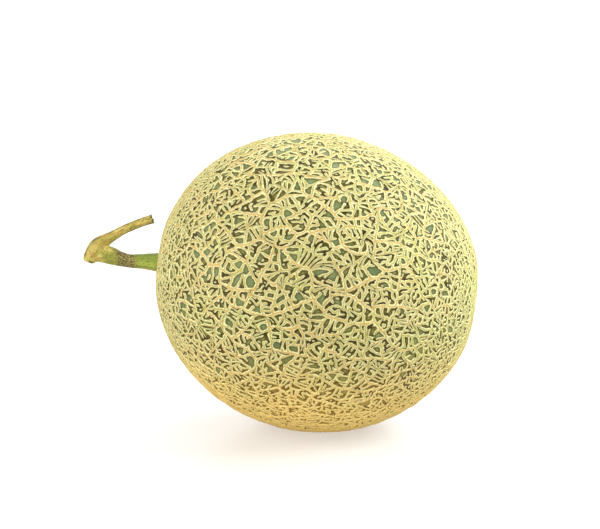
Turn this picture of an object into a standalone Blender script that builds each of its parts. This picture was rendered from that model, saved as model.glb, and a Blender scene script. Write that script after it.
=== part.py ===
"""A netted melon with its green stalk and the short piece of vine it was cut with.

Metres, +Z up. The origin is the centre of the flat spot that the fruit rests on.
The stem end points towards -X and is a little raised, the blossom end towards +X.
"""
import heapq
import math
import random

import bmesh
import bpy
from mathutils import Matrix, Vector

# Fruit, measured to the skin between the ridges
LENGTH = 0.1576
DIAMETER = 0.1452
TILT = math.radians(7.8)
TURN = math.radians(8.0)
STALK_DROP = math.radians(2.0)
CENTRE = Vector((-0.0019, 0.0003, 0.0716))
SHOULDERS = (
    (26.0, 0.0, 0.013, 9.0),
    (138.0, 0.0, 0.015, 11.0),
    (66.0, 0.0, -0.012, 12.0),
    (40.0, 115.0, 0.010, 6.0),
    (-35.0, 150.0, -0.008, 6.0),
    (150.0, -120.0, 0.009, 7.0),
)

# Raised net: cells over the whole fruit, ridge height and half width for old and young ridges
NET_SEED = 41
FIRST_CELLS = 84
NET_CELLS = 640
POLE_RING = 0.205
POLE_CLEAR = 0.37
OLD_RIDGE = (0.00155, 0.00190)
YOUNG_RIDGE = (0.00125, 0.00145)
SPOT_FADE = (0.014, 0.024)

# Hollow round the stalk, and the flat scar at the blossom end
STEM_HOLLOW = (0.0034, 0.20)
BLOSSOM_HOLLOW = (0.0010, 0.22)

# Stalk and vine, as routes from the fruit's centre with a radius at each point
TOUCHING_GAP = 0.0003
STALK_ROUTE = (
    (-0.0800, 0.0113, 0.0081, 0.0045),
    (-0.0840, 0.0118, 0.0083, 0.0040),
    (-0.0885, 0.0124, 0.0084, 0.0036),
    (-0.0935, 0.0130, 0.0085, 0.0034),
    (-0.0985, 0.0137, 0.0095, 0.0038),
    (-0.1030, 0.0142, 0.0111, 0.0044),
    (-0.1075, 0.0145, 0.0120, 0.0042),
)
STALK_FOOT_RADIUS = 0.0049
VINE_ROUTE = (
    (-0.1136, 0.0142, 0.0076, 0.0030),
    (-0.1122, 0.0143, 0.0108, 0.0036),
    (-0.1100, 0.0145, 0.0140, 0.0042),
    (-0.1067, 0.0147, 0.0174, 0.0036),
    (-0.1020, 0.0149, 0.0203, 0.0026),
    (-0.0954, 0.0154, 0.0239, 0.0022),
    (-0.0880, 0.0158, 0.0270, 0.0022),
    (-0.0819, 0.0162, 0.0290, 0.0023),
)


def clear_scene():
    for thing in list(bpy.data.objects):
        bpy.data.objects.remove(thing, do_unlink=True)


def make_material(name, colour, roughness):
    material = bpy.data.materials.new(name)
    material.use_nodes = True
    shader = material.node_tree.nodes["Principled BSDF"]
    shader.inputs["Base Color"].default_value = (*colour, 1.0)
    shader.inputs["Roughness"].default_value = roughness
    shader.inputs["Metallic"].default_value = 0.0
    material.diffuse_color = (*colour, 1.0)
    return material


def add_object(name, mesh, collection, material):
    piece = bpy.data.objects.new(name, mesh)
    collection.objects.link(piece)
    mesh.materials.clear()
    mesh.materials.append(material)
    return piece


def smooth_step(low, high, value):
    share = min(1.0, max(0.0, (value - low) / (high - low)))
    return share * share * (3.0 - 2.0 * share)


def seed_directions(rng):
    """Directions spread evenly over a sphere, with a neat ring round each pole."""
    seeds = [Vector((-1.0, 0.0, 0.0)), Vector((1.0, 0.0, 0.0))]
    for side in (-1.0, 1.0):
        for step in range(6):
            around = math.radians(60.0 * step + 17.0)
            out = math.sin(POLE_RING)
            along = side * math.cos(POLE_RING)
            seeds.append(Vector((along, out * math.cos(around), out * math.sin(around))))
    golden = math.pi * (3.0 - math.sqrt(5.0))
    for step in range(FIRST_CELLS):
        along = 1.0 - (2.0 * step + 1.0) / FIRST_CELLS
        out = math.sqrt(1.0 - along * along)
        around = golden * step
        seed = Vector((along, out * math.cos(around), out * math.sin(around)))
        seed += Vector([rng.uniform(-0.10, 0.10) for _ in range(3)])
        seed.normalize()
        if math.acos(min(1.0, abs(seed.x))) > POLE_CLEAR:
            seeds.append(seed)
    return seeds


def first_cells(rng):
    """The cell round each seed direction: corners sit where three neighbours meet."""
    net = bmesh.new()
    for seed in seed_directions(rng):
        net.verts.new(seed)
    count = len(net.verts)
    bmesh.ops.convex_hull(net, input=net.verts)
    bmesh.ops.bisect_edges(net, edges=net.edges, cuts=1)
    bmesh.ops.poke(net, faces=net.faces)
    net.verts.ensure_lookup_table()
    bmesh.ops.dissolve_verts(net, verts=net.verts[:count])
    halfway = [vert for vert in net.verts if len(vert.link_edges) == 2]
    bmesh.ops.dissolve_verts(net, verts=halfway)
    for vert in net.verts:
        vert.co.normalize()
    bmesh.ops.recalc_face_normals(net, faces=net.faces)
    return net


def long_way(face):
    """Middle of a cell, the direction it is longest in, and its reach that way."""
    middle = Vector()
    rim = 0.0
    for edge in face.edges:
        length = edge.calc_length()
        middle += (edge.verts[0].co + edge.verts[1].co) * (0.5 * length)
        rim += length
    middle /= rim
    up = middle.normalized()
    side = up.orthogonal().normalized()
    other = up.cross(side)
    xx = xy = yy = 0.0
    for edge in face.edges:
        length = edge.calc_length()
        off = (edge.verts[0].co + edge.verts[1].co) * 0.5 - middle
        x = off.dot(side)
        y = off.dot(other)
        xx += length * x * x
        xy += length * x * y
        yy += length * y * y
    angle = 0.5 * math.atan2(2.0 * xy, xx - yy)
    reach = math.sqrt(max(xx, yy) / rim)
    return middle, side, other, angle, reach


def crossing(face, middle, way, falling):
    """Edge of a cell that a line across it meets, and how far along."""
    best = None
    for loop in face.loops:
        start = (loop.vert.co - middle).dot(way)
        end = (loop.link_loop_next.vert.co - middle).dot(way)
        meets = start >= 0.0 > end if falling else start < 0.0 <= end
        if meets:
            share = start / (start - end)
            place = loop.vert.co.lerp(loop.link_loop_next.vert.co, share)
            near = (place - middle).length
            if best is None or near < best[0]:
                best = (near, loop.edge, loop.vert, min(0.76, max(0.24, share)))
    return best


def corner_on(edge, vert, share, bend):
    """New corner on an edge, pushed a little sideways so that long ridges meander."""
    along = edge.verts[1].co - edge.verts[0].co
    corner = bmesh.utils.edge_split(edge, vert, share)[1]
    sideways = corner.co.cross(along)
    corner.co += sideways * bend
    corner.co.normalize()
    return corner


def crowd(face):
    """Share by which the net is finer: towards both ends and the underside, coarser in front."""
    way = face.calc_center_median().normalized()
    share = 1.0 + 0.45 * smooth_step(0.50, 0.95, abs(way.x)) + 0.40 * smooth_step(0.30, 0.95, -way.z)
    front = way.dot(Vector((-0.17, -0.82, 0.54)).normalized())
    return share * (1.0 - 0.28 * smooth_step(0.75, 0.98, front))


def grow_net(count):
    """Cells that crack in two, largest first, the way a melon's skin does."""
    rng = random.Random(NET_SEED)
    net = first_cells(rng)
    age = net.edges.layers.float.new("age")
    poles = [Vector((-1.0, 0.0, 0.0)), Vector((1.0, 0.0, 0.0))]
    waiting = []
    order = 0
    for face in net.faces:
        middle = face.calc_center_median().normalized()
        if max(middle.dot(pole) for pole in poles) < math.cos(0.03):
            size = face.calc_area() * crowd(face) * rng.uniform(0.7, 1.4)
            heapq.heappush(waiting, (-size, order, face))
            order += 1
    cells = len(net.faces)
    while cells < count:
        face = heapq.heappop(waiting)[2]
        middle, side, other, angle, reach = long_way(face)
        angle += rng.gauss(0.0, 0.22)
        way = side * math.cos(angle) + other * math.sin(angle)
        middle = middle + way * (reach * rng.uniform(-0.35, 0.35))
        bends = (rng.uniform(-0.09, 0.09), rng.uniform(-0.09, 0.09))
        sizes = (rng.uniform(0.7, 1.4), rng.uniform(0.7, 1.4))
        first = crossing(face, middle, way, True)
        second = crossing(face, middle, way, False)
        if first is None or second is None:
            continue
        start = corner_on(first[1], first[2], first[3], bends[0])
        end = corner_on(second[1], second[2], second[3], bends[1])
        half, loop = bmesh.utils.face_split(face, start, end)
        loop.edge[age] = float(cells)
        for cell, size in zip((face, half), sizes):
            heapq.heappush(waiting, (-cell.calc_area() * crowd(cell) * size, order, cell))
            order += 1
        cells += 1
    return net, age


def ridge_size(made_at):
    """Height and half width of a ridge: the first ones to crack are the boldest."""
    young = smooth_step(90.0, 420.0, made_at)
    height = OLD_RIDGE[0] + (YOUNG_RIDGE[0] - OLD_RIDGE[0]) * young
    width = OLD_RIDGE[1] + (YOUNG_RIDGE[1] - OLD_RIDGE[1]) * young
    return height, width


def inner_corners(face, widths):
    """Corners of a cell's floor, set in from each ridge by that ridge's half width."""
    loops = list(face.loops)
    share = 1.0
    for _ in range(9):
        corners = []
        for loop in loops:
            up = loop.vert.co.normalized()
            before = up.cross(loop.vert.co - loop.link_loop_prev.vert.co).normalized()
            after = up.cross(loop.link_loop_next.vert.co - loop.vert.co).normalized()
            low = widths[loop.link_loop_prev.edge] * share
            high = widths[loop.edge] * share
            lean = before.dot(after)
            spread = 1.0 - lean * lean
            if spread < 0.05:
                step = (before + after) * (0.25 * (low + high))
            else:
                step = before * ((low - lean * high) / spread) + after * ((high - lean * low) / spread)
            limit = 2.0 * max(low, high)
            if step.length > limit:
                step *= limit / step.length
            corners.append(loop.vert.co + step)
        kept = True
        for index, loop in enumerate(loops):
            rim = loop.link_loop_next.vert.co - loop.vert.co
            floor = corners[(index + 1) % len(corners)] - corners[index]
            if floor.dot(rim) < 0.12 * rim.length_squared:
                kept = False
        if kept:
            return corners
        share *= 0.78
    return corners


def lobe_directions():
    """Directions and strengths of the soft swellings that make the fruit uneven."""
    lobes = []
    for rise, swing, size, narrow in SHOULDERS:
        spin = Matrix.Rotation(math.radians(swing), 3, "X")
        up = Vector((math.cos(math.radians(rise)), 0.0, math.sin(math.radians(rise))))
        lobes.append((spin @ up, size, narrow))
    return lobes


def skin_point(direction, lift, lobes, pose):
    """Point of the skin in a direction from the fruit's centre, raised by lift."""
    from_stem = math.acos(max(-1.0, min(1.0, -direction.x)))
    from_blossom = math.pi - from_stem
    way = Matrix.Rotation(-STALK_DROP, 3, "Y") @ direction
    point = Vector((way.x * LENGTH * 0.5, way.y * DIAMETER * 0.5, way.z * DIAMETER * 0.5))
    swell = 1.0
    for lobe, size, narrow in lobes:
        swell += size * math.exp(narrow * (way.dot(lobe) - 1.0))
    point *= swell
    sink = STEM_HOLLOW[0] * math.exp(-((from_stem / STEM_HOLLOW[1]) ** 4))
    sink += BLOSSOM_HOLLOW[0] * math.exp(-((from_blossom / BLOSSOM_HOLLOW[1]) ** 4))
    point += point.normalized() * (lift - sink)
    return CENTRE + pose @ point


def fruit_pose():
    return Matrix.Rotation(-TURN, 3, "Z") @ Matrix.Rotation(TILT, 3, "Y")


def relief_at(point):
    """Share of the full ridge height: the net is worn flat round the resting spot."""
    if point.z > 0.02:
        return 1.0
    return smooth_step(SPOT_FADE[0], SPOT_FADE[1], math.hypot(point.x, point.y))


def make_fruit(collection):
    net, age = grow_net(NET_CELLS)
    pose = fruit_pose()
    lobes = lobe_directions()
    mean_radius = (LENGTH + 2.0 * DIAMETER) / 6.0
    heights = {}
    widths = {}
    for edge in net.edges:
        height, width = ridge_size(edge[age])
        widths[edge] = width / mean_radius
        for vert in edge.verts:
            heights[vert] = max(heights.get(vert, 0.0), height)
    cells = list(net.faces)
    floors = [inner_corners(face, widths) for face in cells]
    crests = [(vert, heights[vert]) for vert in net.verts]
    bmesh.ops.inset_individual(net, faces=cells, thickness=0.0, depth=0.0)
    for vert, height in crests:
        direction = vert.co.normalized()
        low = skin_point(direction, 0.0, lobes, pose)
        vert.co = skin_point(direction, height * relief_at(low), lobes, pose)
    for face, corners in zip(cells, floors):
        for loop, corner in zip(face.loops, corners):
            loop.vert.co = skin_point(corner.normalized(), 0.0, lobes, pose)
    geometry = net.verts[:] + net.edges[:] + net.faces[:]
    cut = bmesh.ops.bisect_plane(
        net, geom=geometry, dist=0.00002, plane_co=(0.0, 0.0, 0.0), plane_no=(0.0, 0.0, -1.0),
        clear_outer=True)
    rim = [item for item in cut["geom_cut"] if isinstance(item, bmesh.types.BMEdge)]
    bmesh.ops.edgeloop_fill(net, edges=rim)
    bmesh.ops.triangulate(net, faces=net.faces, quad_method="BEAUTY", ngon_method="BEAUTY")
    bmesh.ops.recalc_face_normals(net, faces=net.faces)
    mesh = bpy.data.meshes.new("fruit")
    net.to_mesh(mesh)
    net.free()
    mesh.shade_smooth()
    mesh.set_sharp_from_angle(angle=math.radians(35.0))
    rind = make_material("netted_rind", (0.63, 0.57, 0.30), 0.72)
    return add_object("fruit", mesh, collection, rind)


def smooth_route(route, steps):
    """Points of a smooth line through a route's own points, radius included."""
    points = [Vector(point) for point in route]
    line = []
    for index in range(len(points) - 1):
        before = points[max(0, index - 1)]
        start = points[index]
        end = points[index + 1]
        after = points[min(len(points) - 1, index + 2)]
        for step in range(steps):
            share = step / steps
            ahead = (end - before) * 0.5
            back = (after - start) * 0.5
            square = share * share
            cube = square * share
            point = start * (2.0 * cube - 3.0 * square + 1.0) + ahead * (cube - 2.0 * square + share)
            point += end * (3.0 * square - 2.0 * cube) + back * (cube - square)
            line.append(point)
    line.append(points[-1])
    return line


def make_tube(name, line, grow, ribs, depth, collection):
    """Tube along a line of points with a radius each; ribs and depth make it angular."""
    profile = bpy.data.curves.new(name + "_section", "CURVE")
    section = profile.splines.new("POLY")
    sides = ribs * 3 if ribs else 12
    section.points.add(sides - 1)
    for index in range(sides):
        around = math.tau * index / sides
        out = 1.0 + depth * math.cos(ribs * around)
        section.points[index].co = (out * math.cos(around), out * math.sin(around), 0.0, 1.0)
    section.use_cyclic_u = True
    section_object = bpy.data.objects.new(name + "_section", profile)
    collection.objects.link(section_object)
    curve = bpy.data.curves.new(name, "CURVE")
    curve.dimensions = "3D"
    spline = curve.splines.new("POLY")
    spline.points.add(len(line) - 1)
    for point, place in zip(spline.points, line):
        point.co = (place[0], place[1], place[2], 1.0)
        point.radius = place[3] + grow
    curve.bevel_mode = "OBJECT"
    curve.bevel_object = section_object
    curve.use_fill_caps = True
    tube = bpy.data.objects.new(name, curve)
    collection.objects.link(tube)
    bpy.context.view_layer.update()
    mesh = bpy.data.meshes.new_from_object(tube.evaluated_get(bpy.context.evaluated_depsgraph_get()))
    solid = bmesh.new()
    solid.from_mesh(mesh)
    bmesh.ops.remove_doubles(solid, verts=solid.verts, dist=0.00001)
    bmesh.ops.recalc_face_normals(solid, faces=solid.faces)
    solid.to_mesh(mesh)
    solid.free()
    bpy.data.objects.remove(tube, do_unlink=True)
    bpy.data.objects.remove(section_object, do_unlink=True)
    mesh.name = name
    return mesh


def from_centre(line):
    return [Vector((p[0] + CENTRE.x, p[1] + CENTRE.y, p[2] + CENTRE.z, p[3])) for p in line]


def stalk_line():
    """Line of the stalk from its foot on the hollow's floor to inside the vine's knot."""
    lobes = lobe_directions()
    pose = fruit_pose()
    floor = Vector()
    for step in range(6):
        around = math.radians(60.0 * step)
        out = math.sin(0.08)
        ring = Vector((-math.cos(0.08), out * math.cos(around), out * math.sin(around)))
        floor += skin_point(ring, 0.0, lobes, pose) / 6.0
    stem_way = (skin_point(Vector((-1.0, 0.0, 0.0)), 0.0, lobes, pose) - CENTRE).normalized()
    foot = floor + stem_way * TOUCHING_GAP
    line = [Vector((*foot, STALK_FOOT_RADIUS))]
    raised = foot + stem_way * 0.0016
    line.append(Vector((*raised, STALK_FOOT_RADIUS * 0.97)))
    return line + from_centre(smooth_route(STALK_ROUTE, 2))


def make_stalk(collection, cutters):
    mesh = make_tube("peduncle", stalk_line(), 0.0, 5, 0.07, collection)
    green = make_material("peduncle_green", (0.30, 0.40, 0.07), 0.55)
    stalk = add_object("peduncle", mesh, collection, green)
    knot = make_tube("knot_cutter", from_centre(smooth_route(VINE_ROUTE, 2)), TOUCHING_GAP, 0, 0.0,
                     collection)
    cutter = bpy.data.objects.new("knot_cutter", knot)
    cutters.objects.link(cutter)
    cutter.hide_render = True
    cutter.display_type = "WIRE"
    trim = stalk.modifiers.new("knot_trim", "BOOLEAN")
    trim.object = cutter
    trim.operation = "DIFFERENCE"
    trim.solver = "EXACT"
    return stalk


def make_vine(collection):
    line = from_centre(smooth_route(VINE_ROUTE, 2))
    mesh = make_tube("vine_stub", line, 0.0, 0, 0.0, collection)
    bark = make_material("vine_bark", (0.50, 0.42, 0.13), 0.70)
    mesh.shade_smooth()
    mesh.set_sharp_from_angle(angle=math.radians(50.0))
    return add_object("vine_stub", mesh, collection, bark)


def main():
    clear_scene()
    melon = bpy.data.collections.new("cantaloupe_melon")
    cutters = bpy.data.collections.new("cutters")
    bpy.context.scene.collection.children.link(melon)
    bpy.context.scene.collection.children.link(cutters)
    make_fruit(melon)
    make_stalk(melon, cutters)
    make_vine(melon)


main()
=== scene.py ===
"""Netted melon: fine corky net over a grey-green skin, green stalk, dried vine stub."""
import heapq
import math
import random

import bmesh
import bpy
from mathutils import Matrix, Vector, noise


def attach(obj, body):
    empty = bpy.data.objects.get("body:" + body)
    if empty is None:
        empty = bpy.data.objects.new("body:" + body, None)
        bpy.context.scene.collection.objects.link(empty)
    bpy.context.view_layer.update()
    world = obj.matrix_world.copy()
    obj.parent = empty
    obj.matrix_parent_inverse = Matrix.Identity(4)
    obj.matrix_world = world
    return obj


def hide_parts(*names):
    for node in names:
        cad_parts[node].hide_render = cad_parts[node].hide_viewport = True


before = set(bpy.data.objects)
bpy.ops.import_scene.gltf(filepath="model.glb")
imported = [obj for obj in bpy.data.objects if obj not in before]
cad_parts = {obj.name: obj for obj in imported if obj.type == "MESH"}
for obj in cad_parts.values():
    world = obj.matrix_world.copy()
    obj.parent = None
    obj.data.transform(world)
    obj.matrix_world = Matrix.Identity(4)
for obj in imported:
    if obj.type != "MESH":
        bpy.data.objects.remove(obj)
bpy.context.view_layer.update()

# Shape of the fruit, measured to the skin: that of the solids, but 0.9 mm wider for its lower net
LENGTH = 0.1585
DIAMETER = 0.1461
MEAN_RADIUS = 0.0755
TILT = math.radians(7.8)
TURN = math.radians(8.0)
STALK_DROP = math.radians(2.0)
CENTRE = Vector((-0.0019, 0.0003, 0.0716))
SHOULDERS = (
    (26.0, 0.0, 0.013, 9.0),
    (138.0, 0.0, 0.015, 11.0),
    (66.0, 0.0, -0.012, 12.0),
    (40.0, 115.0, 0.010, 6.0),
    (-35.0, 150.0, -0.008, 6.0),
    (150.0, -120.0, 0.009, 7.0),
)
STEM_HOLLOW = (0.0034, 0.20)
BLOSSOM_HOLLOW = (0.0010, 0.22)

# First cells: how many, how far they stray, and the angles that keep a round cell at both ends
NET_SEED = 41
FIRST_CELLS = 84
SEED_STRAY = 0.10
RING_CELLS = 6
RING_TURN = 17.0
POLE_RING = 0.205
POLE_CLEAR = 0.37
POLE_CELL = 0.03

# Cracks: how many cells they leave, how far each strays from the middle of its cell, when they
# turn to rungs, which cells stay open, and how far the finished lines sway
NET_CELLS = 7450
CELL_LUCK = (0.7, 1.4)
CRACK_SWING = 0.22
CRACK_SHIFT = 0.35
CRACK_BEND = 0.09
CRACK_REACH = (0.24, 0.76)
RUNGS_FROM = 2400
RUNG_ROOM = 0.0037
RUNG_SWING = 0.26
RUNG_SHIFT = (0.40, 0.60)
OPEN_FROM = 2500
OPEN_TO = 4500
OPEN_SHARE = 0.12
OPEN_LUCK = 0.22
SWAY = 0.022
SWAY_GRAIN = 10.0

# Short ridges: the shares of late cracks that end in a spur or stand free, and the least length
# of a ridge that is split like this, that only bends, or that runs out from the round cell at an end
SPUR_SHARE = 0.40
FREE_SHARE = 0.03
SPUR_SPAN = 0.0021
FREE_SPAN = 0.0032
BEND_SPAN = 0.0029
COLLAR_REACH = 0.14
COLLAR_SPAN = 0.0015

# Ridges: height and half width of the boldest and the finest, the ages of cracks between which
# bold turns to fine, the longest side of a cell that may close, and the levels of the profile
BOLD_RIDGE = (0.00088, 0.00134)
FINE_RIDGE = (0.00066, 0.00100)
BOLD_CRACKS = (60.0, 1500.0)
SHORT_RIM = 0.0018
GAP_RISE = 0.00008
FOOT_LEVEL = -0.35
POLE_LEVEL = 0.6
MILLIMETRE = 0.001

# How much finer the net is at both ends and below, and how much coarser in front
FINER_AT_ENDS = 0.45
FINER_BELOW = 0.40
COARSER_IN_FRONT = 0.18
FRONT = Vector((-0.17, -0.82, 0.54)).normalized()

# Resting spot: the net fades in between these distances from its middle, below this height
SPOT_FADE = (0.010, 0.020)
SPOT_TOP = 0.02

# Rings round both ends: angle from the long axis, height, and place in a ridge's profile
COLLAR_RINGS = ((0.080, 0.00035, 0.6), (0.070, 0.00060, 0.7), (0.062, 0.00010, 0.0), (0.030, 0.0, 0.0))
SCAR_RINGS = (
    (0.082, 0.00005, -0.5),
    (0.076, 0.00020, 0.20),
    (0.066, 0.00044, 0.90),
    (0.056, 0.00020, 0.15),
    (0.050, 0.00012, -0.20),
    (0.043, 0.00032, 0.60),
    (0.024, 0.00010, 0.10),
    (0.010, 0.00030, 0.80),
)

# Stalk and vine: routes from the fruit's centre with a radius at each point. Stalk and vine are
# those of the solids, with a slightly shorter cut end, and the fill closes the crook of the knot
STALK_FOOT_RADIUS = 0.0049
STALK_ROUTE = (
    (-0.0800, 0.0113, 0.0081, 0.0045),
    (-0.0840, 0.0118, 0.0083, 0.0040),
    (-0.0885, 0.0124, 0.0084, 0.0036),
    (-0.0935, 0.0130, 0.0085, 0.0034),
    (-0.0985, 0.0137, 0.0095, 0.0038),
    (-0.1030, 0.0142, 0.0111, 0.0044),
    (-0.1075, 0.0145, 0.0120, 0.0042),
)
VINE_ROUTE = (
    (-0.1134, 0.0142, 0.0076, 0.0029),
    (-0.1122, 0.0143, 0.0108, 0.0036),
    (-0.1100, 0.0145, 0.0140, 0.0042),
    (-0.1067, 0.0147, 0.0174, 0.0036),
    (-0.1020, 0.0149, 0.0203, 0.0026),
    (-0.0954, 0.0154, 0.0239, 0.0022),
    (-0.0880, 0.0158, 0.0270, 0.0022),
    (-0.0819, 0.0162, 0.0290, 0.0023),
)
KNOT_FILL = (
    (-0.1124, 0.0142, 0.0100, 0.0026),
    (-0.1098, 0.0143, 0.0107, 0.0032),
    (-0.1070, 0.0144, 0.0113, 0.0039),
    (-0.1035, 0.0142, 0.0112, 0.0041),
)
ROUTE_STEPS = 5
STALK_END_STEPS = 18
VINE_GRAIN = 0.00032
VINE_SMOOTHINGS = 6
SPLINTER_SEED = 7
SPLINTERS = 11
SPLINTER_PLACE = 4.4

# Where the stem's colours change: places along X, heights above the floor, and distances off
# the cut end's place
GREEN_TO_DRY = (-0.1010, -0.0940)
ARM_ABOVE = (0.0870, 0.0895)
OLD_ABOVE = (0.0800, 0.0830)
LEAFY_FROM = (-0.1040, -0.1010)
LEAFY_TO = (-0.0990, -0.0960)
LEAFY_BELOW = (0.0835, 0.0860)
BELLY_BELOW = (0.0774, 0.0790)
PATCH_FROM = (-0.1035, -0.0995)
PATCH_TO = (-0.0945, -0.0895)
PATCH_BELOW = (0.0850, 0.0875)
CUT_PLACE = -0.1145
CUT_EDGE = (0.0006, 0.0014)
CUT_BELOW = (0.0794, 0.0804)

# Camera: azimuth 0, a little above the fruit, through a long lens
CAMERA_RISE = math.radians(11.0)
CAMERA_AWAY = 1.30
PIXEL = 0.000494
FRUIT_IN_FRAME = (316.7, 282.4)
FRAME = (600.0, 529.0)
SENSOR_WIDTH = 36.0

# Lights: name, place, aim, width, power in watts, colour
FRUIT_MIDDLE = (0.0, 0.0, 0.08)
LIGHTS = (
    ("window_back", (0.10, 0.75, 1.05), FRUIT_MIDDLE, 0.8, 10.5, (0.89, 0.95, 1.0)),
    ("side_right", (0.95, 0.05, 0.75), FRUIT_MIDDLE, 0.9, 29.5, (0.87, 0.94, 1.0)),
    ("side_left", (-0.95, -0.10, 0.50), FRUIT_MIDDLE, 0.8, 9.5, (1.0, 0.985, 0.96)),
    ("low_front", (-0.15, -1.12, 0.16), (0.0, 0.0, 0.02), 0.8, 11.0, (1.0, 0.975, 0.93)),
)
WORLD_COLOUR = (1.0, 0.995, 0.98, 1.0)
FLOOR_HALF_WIDTH = 6.0
FLOOR_HEIGHT = -0.0002
FLOOR_COLOUR = (0.30, 0.295, 0.285, 1.0)
FLOOR_ROUGHNESS = 0.30
FLOOR_GLOW = (1.0, 0.955, 0.905, 1.0)
FLOOR_GLOW_STRENGTH = 0.52


def smooth_step(low, high, value):
    share = min(1.0, max(0.0, (value - low) / (high - low)))
    return share * share * (3.0 - 2.0 * share)


def tint(red, green, blue):
    """Colour as it looks on a screen, 0 to 255, turned into scene-linear values."""
    values = []
    for part in (red, green, blue):
        part /= 255.0
        values.append(part / 12.92 if part <= 0.04045 else ((part + 0.055) / 1.055) ** 2.4)
    return (*values, 1.0)


# Tints of the rind
SKIN_DARK = tint(80, 92, 54)
SKIN_PALE = tint(98, 108, 66)
SKIN_OLIVE = tint(118, 116, 54)
SKIN_IN_NARROW_GAPS = tint(110, 102, 40)
# Golden ground spot, made lighter as painted bounce light from the floor
SKIN_GOLD_BOUNCE_LIT = tint(166, 132, 52)
PORES = tint(150, 154, 112)
# Dark at the foot of the ridges: partly the fissures' own colour, partly painted shade
GAP_FISSURE_AND_SHADE = tint(50, 40, 0)
# Near the floor the dark of the gaps turns golden and lighter, as painted bounce light
GAP_FISSURE_AND_SHADE_GOLD = tint(120, 84, 22)
CORK = tint(158, 156, 99)
CORK_WARM = tint(166, 154, 97)
CORK_GREEN = tint(150, 157, 86)
CORK_BROWN = tint(146, 122, 76)
# Golden ground spot on the cork, made lighter as painted bounce light from the floor
CORK_GOLD_BOUNCE_LIT = tint(222, 188, 106)
# Pale rims beside the crest: partly the cork's own tone, partly a painted highlight
CORK_RIM_AND_HIGHLIGHT = tint(203, 203, 156)
CORK_GROOVE = tint(154, 125, 66)
BOLD_TAN = tint(182, 155, 98)

# Tints of the stem
STALK_DARK = tint(92, 110, 30)
STALK_PALE = tint(134, 146, 54)
STRAW_DARK = tint(142, 130, 54)
STRAW_PALE = tint(182, 168, 90)
OLIVE = tint(132, 136, 44)
TAN = tint(158, 118, 66)
DASHES = tint(128, 94, 46)
LEAFY_GREEN = tint(104, 114, 30)
OLD_EDGE = tint(84, 72, 26)
# Painted shade along the underside of the arm
PAINTED_UNDER_SHADE = tint(96, 86, 40)
BELLY = tint(172, 134, 76)
PATCH = tint(104, 84, 42)
DARK_SPECKS = tint(58, 42, 20)
PALE_SPECKS = tint(206, 180, 130)
FEW_SPECKS = tint(92, 72, 30)
CUT_END = tint(44, 32, 16)
TORN_END = tint(98, 88, 62)


# The cracks that the net grows along


def seed_directions(rng):
    """Directions of the first cells: one at each end, a ring round it, and a spiral between."""
    seeds = [Vector((-1.0, 0.0, 0.0)), Vector((1.0, 0.0, 0.0))]
    for side in (-1.0, 1.0):
        for step in range(RING_CELLS):
            around = math.radians(360.0 / RING_CELLS * step + RING_TURN)
            out = math.sin(POLE_RING)
            along = side * math.cos(POLE_RING)
            seeds.append(Vector((along, out * math.cos(around), out * math.sin(around))))
    golden = math.pi * (3.0 - math.sqrt(5.0))
    for step in range(FIRST_CELLS):
        along = 1.0 - (2.0 * step + 1.0) / FIRST_CELLS
        out = math.sqrt(1.0 - along * along)
        around = golden * step
        seed = Vector((along, out * math.cos(around), out * math.sin(around)))
        seed += Vector([rng.uniform(-SEED_STRAY, SEED_STRAY) for _ in range(3)])
        seed.normalize()
        if math.acos(min(1.0, abs(seed.x))) > POLE_CLEAR:
            seeds.append(seed)
    return seeds


def first_cells(rng):
    """A ball of unit radius with one cell round each first direction."""
    net = bmesh.new()
    for seed in seed_directions(rng):
        net.verts.new(seed)
    count = len(net.verts)
    bmesh.ops.convex_hull(net, input=net.verts)
    bmesh.ops.bisect_edges(net, edges=net.edges, cuts=1)
    bmesh.ops.poke(net, faces=net.faces)
    net.verts.ensure_lookup_table()
    bmesh.ops.dissolve_verts(net, verts=net.verts[:count])
    halfway = [vert for vert in net.verts if len(vert.link_edges) == 2]
    bmesh.ops.dissolve_verts(net, verts=halfway)
    for vert in net.verts:
        vert.co.normalize()
    bmesh.ops.recalc_face_normals(net, faces=net.faces)
    return net


def long_way(face):
    """Middle of a cell, two directions across it, the angle of its long way and its reach."""
    middle = Vector()
    rim = 0.0
    for edge in face.edges:
        length = edge.calc_length()
        middle += (edge.verts[0].co + edge.verts[1].co) * (0.5 * length)
        rim += length
    middle /= rim
    up = middle.normalized()
    side = up.orthogonal().normalized()
    other = up.cross(side)
    xx = xy = yy = 0.0
    for edge in face.edges:
        length = edge.calc_length()
        off = (edge.verts[0].co + edge.verts[1].co) * 0.5 - middle
        x = off.dot(side)
        y = off.dot(other)
        xx += length * x * x
        xy += length * x * y
        yy += length * y * y
    angle = 0.5 * math.atan2(2.0 * xy, xx - yy)
    reach = math.sqrt(max(xx, yy) / rim)
    return middle, side, other, angle, reach


def crossing(face, middle, way, falling):
    """Where a crack through the middle meets the cell's rim: nearness, edge, corner, share."""
    best = None
    for loop in face.loops:
        start = (loop.vert.co - middle).dot(way)
        end = (loop.link_loop_next.vert.co - middle).dot(way)
        meets = start >= 0.0 > end if falling else start < 0.0 <= end
        if meets:
            share = start / (start - end)
            place = loop.vert.co.lerp(loop.link_loop_next.vert.co, share)
            near = (place - middle).length
            if best is None or near < best[0]:
                share = min(CRACK_REACH[1], max(CRACK_REACH[0], share))
                best = (near, loop.edge, loop.vert, share)
    return best


def corner_on(edge, vert, share, bend):
    """New corner at a share of an edge from vert, moved sideways by bend times its length."""
    along = edge.verts[1].co - edge.verts[0].co
    corner = bmesh.utils.edge_split(edge, vert, share)[1]
    sideways = corner.co.cross(along)
    corner.co += sideways * bend
    corner.co.normalize()
    return corner


def edge_between(corner, end):
    """The edge that joins two corners."""
    return [edge for edge in corner.link_edges if edge.other_vert(corner) is end][0]


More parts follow.
